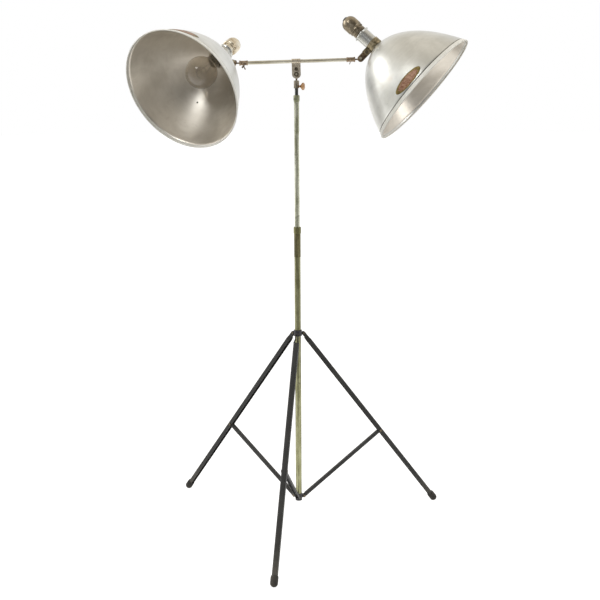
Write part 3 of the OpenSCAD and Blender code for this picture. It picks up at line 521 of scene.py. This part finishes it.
def dome_rivet(side):
    """Small dark rivet in the dome's wall, showing as a dot inside."""
    out = Matrix.Rotation(math.radians(RIVET_TURN), 4, "Z") @ Matrix.Translation(
        (dome_r(RIVET_Z) - WALL / 2, 0, RIVET_Z))
    lean = math.atan2(dome_r(RIVET_Z + MM) - dome_r(RIVET_Z - MM), 2 * MM)
    bm = turned([(0, -0.0016, 0), (0.0013, -0.0015, 0), (0.0021, -0.0009, 0), (0.0021, 0.0009, 0),
                 (0.0013, 0.0015, 0), (0, 0.0016, 0)], 24)
    finish_piece(f"dome_rivet_{side}", bm, head_matrix(side) @ out
                 @ Matrix.Rotation(math.pi / 2 + lean, 4, "Y"), ["grime"], f"head_{side}", (), 50)


BADGE_Z, BADGE_LONG, BADGE_SHORT = 0.1412, 0.084, 0.0245
BADGE_TURN = {"right": -69.3, "left": 87.5}


def badge(side):
    """Bare oval plate, bent to the dome: raised border, sunk field, turned-down edge.

    Its profile is a share of the plate's width by the height over the dome in mm."""
    face = [(0, 0.35, 1)] + [(0.06 * k, 0.35, 1) for k in range(1, 6)]
    face += [(0.36, 0.35, 1), (0.385, 0.42, 0), (0.41, 0.66, 0), (0.44, 0.74, 0), (0.47, 0.66, 0),
             (0.496, 0.4, 0), (0.5, 0.1, 0), (0.5, -0.4, 0), (0.3, -0.4, 0), (0, -0.4, 0)]
    bm = turned(face, 72)
    middle = math.radians(BADGE_TURN[side])
    for vert in bm.verts:
        height = BADGE_Z + vert.co.y * BADGE_SHORT
        radius = dome_r(height, vert.co.z * MM)
        turn = middle + vert.co.x * BADGE_LONG / dome_r(BADGE_Z)
        vert.co = (radius * math.cos(turn), radius * math.sin(turn), height)
    bmesh.ops.recalc_face_normals(bm, faces=bm.faces)
    finish_piece(f"badge_{side}", bm, head_matrix(side), ["badge_border", "badge_field"],
                 f"head_{side}", (), 60)


# ---------- sockets and bulbs ----------
SOCKET_R, SHELL_END, SHELL_BEADS, SHELL_BEAD_R = 0.0167, -0.014, (-0.0500, -0.0457), 0.0009
CAP_R, CAP_Z, CAP_LEN, CAP_ROUND, CAP_MOUTH, BRASS = 0.0196, -0.055, 0.0395, 0.016, 0.0016, 0.001
CORD_BUSH_R, CORD_R = 0.007, 0.0050


def socket(side):
    """Brass shell with beads, and a swelling cap with a fibre bush for the cord."""
    shell = [(SOCKET_R - BRASS, CAP_Z - 0.003, 0), (SOCKET_R, CAP_Z - 0.003, 0),
             (SOCKET_R, -0.0515, 0)]
    for middle in SHELL_BEADS:
        shell += arc(SOCKET_R - 0.0002, middle, SHELL_BEAD_R, -80, 80, 6)
    shell += [(SOCKET_R, -0.0440, 0), (SOCKET_R, SHELL_END, 0), (SOCKET_R - BRASS, SHELL_END, 0)]
    finish_piece(f"shell_{side}", turned(shell, 72), head_matrix(side), [f"socket_{side}"],
                 f"head_{side}", [f"socket_shell_{side}"], 40)
    end = CAP_Z - CAP_LEN
    ball = end + CAP_ROUND
    cut = math.degrees(math.asin(CAP_ROUND / CAP_R))
    mouth = SOCKET_R + CAP_MOUTH
    cap = [(SOCKET_R, CAP_Z - 0.003, 0), (SOCKET_R, CAP_Z - 0.0002, 0)]
    cap += arc(mouth - 0.0007, CAP_Z - 0.0008, 0.0008, 90, -60, 7)
    cap += [(mouth - 0.0007, CAP_Z - 0.0022, 0)]
    cap += arc(mouth - 0.0004, CAP_Z - 0.0031, 0.0007, 70, -40, 5)
    cap += arc(CAP_R - 0.0032, CAP_Z - 0.0092, 0.0032, 58, 6, 6)
    cap += [(CAP_R, (ball + CAP_Z - 0.009) / 2, 0)] + arc(0, ball, CAP_R, 0, -cut, 12)
    cap += [(CORD_BUSH_R + 0.0012, end, 0), (CORD_BUSH_R + 0.0003, end - 0.0006, 1)]
    cap += arc(CORD_BUSH_R - 0.0008, end - 0.0032, 0.0008, 20, 110, 4, 1)
    cap += [(CORD_R + 0.0001, end - 0.0038, 1), (CORD_R, end + 0.0010, 0)]
    cap += arc(0, ball, CAP_R - BRASS, -cut - 3, 0, 8)
    cap += [(CAP_R - BRASS, CAP_Z - 0.0092, 0), (SOCKET_R - BRASS, CAP_Z - 0.004, 0),
            (SOCKET_R - BRASS, CAP_Z - 0.003, 0)]
    finish_piece(f"cap_{side}", turned(cap, 72), head_matrix(side), [f"socket_{side}", "fibre"],
                 f"head_{side}", [f"socket_cap_{side}"], 40)


BULB_R, BULB_AT, BASE_R, BASE_MOUTH, GLASS = 0.0395, 0.073, 0.0131, -0.026, 0.0009


def bulb(side):
    """Pear-shaped clear bulb, open where its base grips it."""

    def outline(thick):
        ball = [((BULB_R - thick) * math.sin(math.radians(a)),
                 BULB_AT + (BULB_R - thick) * math.cos(math.radians(a)))
                for a in range(0, 146, 5)]
        low = BASE_MOUTH + 0.008
        neck = []
        for k in range(1, 13):
            share = 1 - k / 12
            blend = 0.35 * share * share * (3 - 2 * share) + 0.65 * share * share
            neck.append((BASE_R - thick + (ball[-1][0] - BASE_R + thick) * blend,
                         low + (ball[-1][1] - low) * share))
        return ball + neck

    outer = outline(0) + [(BASE_R, BASE_MOUTH)]
    inner = [(BASE_R - GLASS, BASE_MOUTH)] + outline(GLASS)[::-1]
    bm = turned([(r, z, 0) for r, z in outer + inner], 96)
    finish_piece(f"glass_{side}", bm, head_matrix(side), ["glass"], f"head_{side}",
                 [f"bulb_glass_{side}"], 60)


LOOP_R, LOOP_WIRE, LOOP_AXIS, LOOP_ANGLE = 0.013, 0.0006, (0, 0.5, 0.86), 270
LEAD_OUT, LEAD_MIDDLE, LEAD_LEN, LEAD_WIRE, LEAD_LEAN = 0.0075, 0.047, 0.052, 0.0004, 12
STEM_R, STEM_TOP_R = 0.0075, 0.0026


def filament(side):
    """Glass stem with two wires and a bunched filament between them."""
    stem = [(0, BASE_MOUTH + 0.002, 0), (STEM_R, BASE_MOUTH + 0.002, 0)]
    stem += arc(STEM_R, BASE_MOUTH + 0.010, 0.0048, 230, 180, 4)
    stem += [(STEM_TOP_R, 0.012, 0), (STEM_TOP_R, 0.020, 0), (0.0018, 0.024, 0), (0, 0.025, 0)]
    bm = turned(stem, 24)
    finish_piece(f"stem_{side}", bm, head_matrix(side), ["glass"], f"head_{side}", (), 50)
    bm = bmesh.new()
    start = Matrix.Translation((LOOP_R, 0, BULB_AT)) @ Matrix.Rotation(math.pi / 2, 4, "X")
    ring = bmesh.ops.create_circle(bm, radius=LOOP_WIRE, segments=8, matrix=start)
    bmesh.ops.spin(bm, geom=ring["verts"] + bm.edges[:], cent=(0, 0, BULB_AT), axis=LOOP_AXIS,
                   angle=math.radians(LOOP_ANGLE), steps=28)
    for turn in (0, math.pi):
        lead = (Matrix.Rotation(turn, 4, "Z") @ Matrix.Translation((LEAD_OUT, 0, LEAD_MIDDLE))
                @ Matrix.Rotation(math.radians(LEAD_LEAN), 4, "Y"))
        bmesh.ops.create_cone(bm, cap_ends=True, radius1=LEAD_WIRE, radius2=LEAD_WIRE,
                              depth=LEAD_LEN, segments=8, matrix=lead)
    bmesh.ops.recalc_face_normals(bm, faces=bm.faces)
    finish_piece(f"filament_{side}", bm, head_matrix(side), ["wire"], f"head_{side}", (), 60)


# ---------- arms and screws ----------
ARM_REACH, ARM_W, ARM_T, ARM_OFF, ARM_START = 0.0484, 0.0158, 0.0028, 0.0037, 0.0198
ARM_SEAM, ARM_SOFT, STUD_R = 0.00012, 0.00035, 0.0009
ARM_STUDS = ((0.0375, 0.0), (0.0415, 0.0042), (0.0415, -0.0042))


def arm(side):
    """Two-ply strap with a rounded end: soft edges, a seam between the plies, and studs."""
    bm = bmesh.new()
    for ply in (-1, 1):
        sheet = bmesh.new()
        bmesh.ops.create_circle(sheet, cap_ends=True, radius=ARM_W / 2, segments=64)
        # The half that lies towards the ring is drawn back to an all but straight end
        for vert in sheet.verts:
            if vert.co.x < 0:
                vert.co.x = vert.co.x / (ARM_W / 2) * 0.0001 - (ARM_REACH - ARM_START)
        bmesh.ops.translate(sheet, verts=sheet.verts, vec=(ARM_REACH, 0, 0))
        top = bmesh.ops.extrude_face_region(sheet, geom=sheet.faces[:])["geom"]
        bmesh.ops.translate(sheet, vec=(0, 0, ARM_T / 2 - ARM_SEAM),
                            verts=[g for g in top if isinstance(g, bmesh.types.BMVert)])
        bmesh.ops.recalc_face_normals(sheet, faces=sheet.faces)
        rim = [e for e in sheet.edges if e.calc_face_angle(0) > 1]
        bmesh.ops.bevel(sheet, geom=rim, offset=ARM_SOFT, segments=2, profile=0.5,
                        affect="EDGES", material=-1)
        bmesh.ops.translate(sheet, vec=(0, 0, ARM_SEAM if ply > 0 else -ARM_T / 2),
                            verts=sheet.verts)
        part = bpy.data.meshes.new("ply")
        sheet.to_mesh(part)
        sheet.free()
        bm.from_mesh(part)
    for x, y in ARM_STUDS:
        for z in (ARM_T / 2, -ARM_T / 2):
            flat = Matrix.Translation((x, y, z)) @ Matrix.Diagonal((1, 1, 0.6, 1))
            bmesh.ops.create_uvsphere(bm, u_segments=16, v_segments=8, radius=STUD_R, matrix=flat)
    off = -ARM_OFF if side == "right" else ARM_OFF
    lay = Matrix.Translation((0, off, 0)) @ Matrix.Rotation(math.pi / 2, 4, "X")
    finish_piece(f"strap_{side}", bm, head_matrix(side) @ lay, ["bronze"], f"head_{side}",
                 [f"arm_{side}"], 40)


def axis_matrix(joint, start):
    """A frame on a screw's axis, +Z outwards, level with the middle of the node it sits in."""
    out = Vector(JOINTS[joint]["axis"]).normalized()
    low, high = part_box(start)
    middle = (low + high) / 2
    place = Vector(JOINTS[joint]["pos_m"])
    place += out * (middle - place).dot(out)
    return Matrix.Translation(place) @ out.to_track_quat("Z", "X").to_matrix().to_4x4()


SHANK_R, SHANK_START = 0.0015, 0.0046
KNURLS, KNURL_DEPTH = 30, 0.028


def thumb_screw():
    """Flared copper knob with a coined edge and a dished face, on its shank."""
    knob = [(0.0024, 0.0078), (0.0027, 0.0086), (0.0026, 0.0098), (0.0040, 0.0116),
            (0.0066, 0.0136), (0.0082, 0.0150), (0.0089, 0.0158), (0.0090, 0.0170),
            (0.0090, 0.0180), (0.0085, 0.0190), (0.0070, 0.0193), (0.0060, 0.0190),
            (0.0045, 0.0193), (0.0022, 0.0202), (0, 0.0204)]
    shank = [(0, SHANK_START), (SHANK_R, SHANK_START), (SHANK_R, 0.0076)]
    bm = turned([(r, z, 0) for r, z in shank + knob], 120)
    for vert in bm.verts:
        reach = vert.co.xy.length
        if reach > 0.0084 and 0.0152 < vert.co.z < 0.0188:
            wave = 0.5 + 0.5 * math.cos(KNURLS * math.atan2(vert.co.y, vert.co.x))
            dip = 1 - KNURL_DEPTH * wave
            vert.co.x *= dip
            vert.co.y *= dip
    finish_piece("thumb_knob", bm, axis_matrix("thumb_turn", "top_sleeve"), ["copper"], "thumb",
                 ["thumb_screw"], 40)


WING_SPREAD = {"left": 35, "right": 20}
WING_OUT, WING_UP = 0.0046, 0.0108
WING_LONG, WING_THICK, WING_HIGH = 0.0040, 0.00085, 0.0018
TIP_THICK, TIP_HIGH, TIP_UP = 0.0002, 0.0013, 0.0026


def wing_screw(side):
    """Screw with two rounded wings swept out from its hub."""
    hub = [(0, SHANK_START), (SHANK_R, SHANK_START), (SHANK_R, 0.0064), (0.0026, 0.0066),
           (0.0028, 0.0072), (0.0022, 0.0096), (0.0012, 0.0104), (0, 0.0106)]
    bm = turned([(r, z, 0) for r, z in hub], 32)
    for turn in (0, math.pi):
        wing = bmesh.new()
        bmesh.ops.create_uvsphere(wing, u_segments=28, v_segments=14, radius=1)
        for vert in wing.verts:
            x, y, z = vert.co
            sweep = 0.5 * (x + 1)
            vert.co = (WING_OUT + x * WING_LONG, y * (WING_THICK + TIP_THICK * sweep),
                       WING_UP + z * (WING_HIGH + TIP_HIGH * sweep) + TIP_UP * sweep)
        wing.transform(Matrix.Rotation(turn, 4, "Z"))
        part = bpy.data.meshes.new("wing")
        wing.to_mesh(part)
        wing.free()
        bm.from_mesh(part)
    spread = Matrix.Rotation(math.radians(WING_SPREAD[side]), 4, "Z")
    finish_piece(f"wing_{side}", bm, axis_matrix(f"wing_turn_{side}", f"ferrule_{side}") @ spread,
                 ["bronze"], f"wing_{side}", [f"wing_screw_{side}"], 50)


aim_camera()
for side in SIDES:
    reflector(side)
    badge(side)
    socket(side)
    bulb(side)
    filament(side)
    arm(side)
    wing_screw(side)
dome_rivet("left")
thumb_screw()


# ---------- floor, room and lamps ----------
FLOOR_R, CAMERA_GLOW = 14, 0.9
PAPER = (0.4, 0.4, 0.395, 1)
WARM = (1, 0.93, 0.82, 1)
# Name, place, aim, width, height, watts and, where it isn't white, colour
SOFTBOXES = (
    ("window_softbox", (-2.9, 0.95, 2.15), (0.1, 0, 1.1), 1.2, 1.9, 30),
    ("front_left_softbox", (-1.87, -1.66, 3.35), (0.2, -0.1, 1.17), 0.7, 0.7, 12),
    ("front_softbox", (-1.7, -2.45, 3.1), (-0.25, 0, 1.1), 0.6, 0.8, 20, (0.94, 0.97, 1)),
    ("right_softbox", (2.9, -1.5, 2.2), (0, 0, 1.1), 0.9, 1.6, 22),
)


def dark_corner(finish, x, y, reach):
    """1 towards the room's darker corner, far to the left and somewhat back, and 0 elsewhere."""
    slope = y / x.maths("MINIMUM", x, reach) * -1
    return finish.rise(slope, 0.4, 0.65) * finish.rise(slope, 1.9, 1.3)


def lay_floor():
    """White to the eye and in gloss and glass, but a dull paper to the light that falls on it."""
    floor_mesh = bpy.data.meshes.new("floor")
    bm = bmesh.new()
    bmesh.ops.create_circle(bm, cap_ends=True, radius=FLOOR_R, segments=64)
    bm.to_mesh(floor_mesh)
    bm.free()
    floor = bpy.data.objects.new("floor", floor_mesh)
    bpy.context.scene.collection.objects.link(floor)
    f = Finish("paper_floor")
    seen = f.node("ShaderNodeLightPath", out="Is Camera Ray")
    gloss = f.node("ShaderNodeLightPath", out="Is Glossy Ray")
    through = f.node("ShaderNodeLightPath", out="Is Transmission Ray")
    x, y = f.part(f.place, "X"), f.part(f.place, "Y")
    near = f.rise(y, -1.4, -0.6, 0.18, 1.05)
    aside = 1 - dark_corner(f, x, y, -0.8) * 0.75
    glow = seen * CAMERA_GLOW + gloss.maths("MAXIMUM", gloss, through) * near * aside
    paper = f.node("ShaderNodeBsdfDiffuse", None, {"Color": PAPER})
    lit = f.node("ShaderNodeEmission", None, {"Color": (1, 1, 1, 1), "Strength": glow})
    f.send_out(f.node("ShaderNodeAddShader", None, {0: paper, 1: lit}))
    floor_mesh.materials.append(f.owner)


def light_room():
    """A white room that is darker behind the camera, a little warm above; and its softboxes."""
    world = bpy.context.scene.world or bpy.data.worlds.new("world")
    bpy.context.scene.world = world
    w = Finish(world=world)
    x, y, z = (w.part(w.place, axis) for axis in "XYZ")
    room = w.rise(y, -0.02, -0.66, 1.0, 0.22) * w.rise(z, 0.45, 0.95, 1.0, 0.84)
    room = room * (1 - dark_corner(w, x, y, -0.05) * w.rise(z, 0.14, 0.02) * 0.75)
    seen = w.node("ShaderNodeLightPath", out="Is Camera Ray")
    strength = w.node("ShaderNodeMix", {"data_type": "FLOAT"}, {0: seen, 2: room, 3: 1.0})
    warm = w.tint(w.rise(z, 0.3, 0.9) * (1 - seen), (1, 1, 1, 1), WARM)
    background = w.node("ShaderNodeBackground", None, {"Color": warm, "Strength": strength})
    w.send_out(background, "ShaderNodeOutputWorld")
    for box in SOFTBOXES:
        softbox(*box)


lay_floor()
light_room()
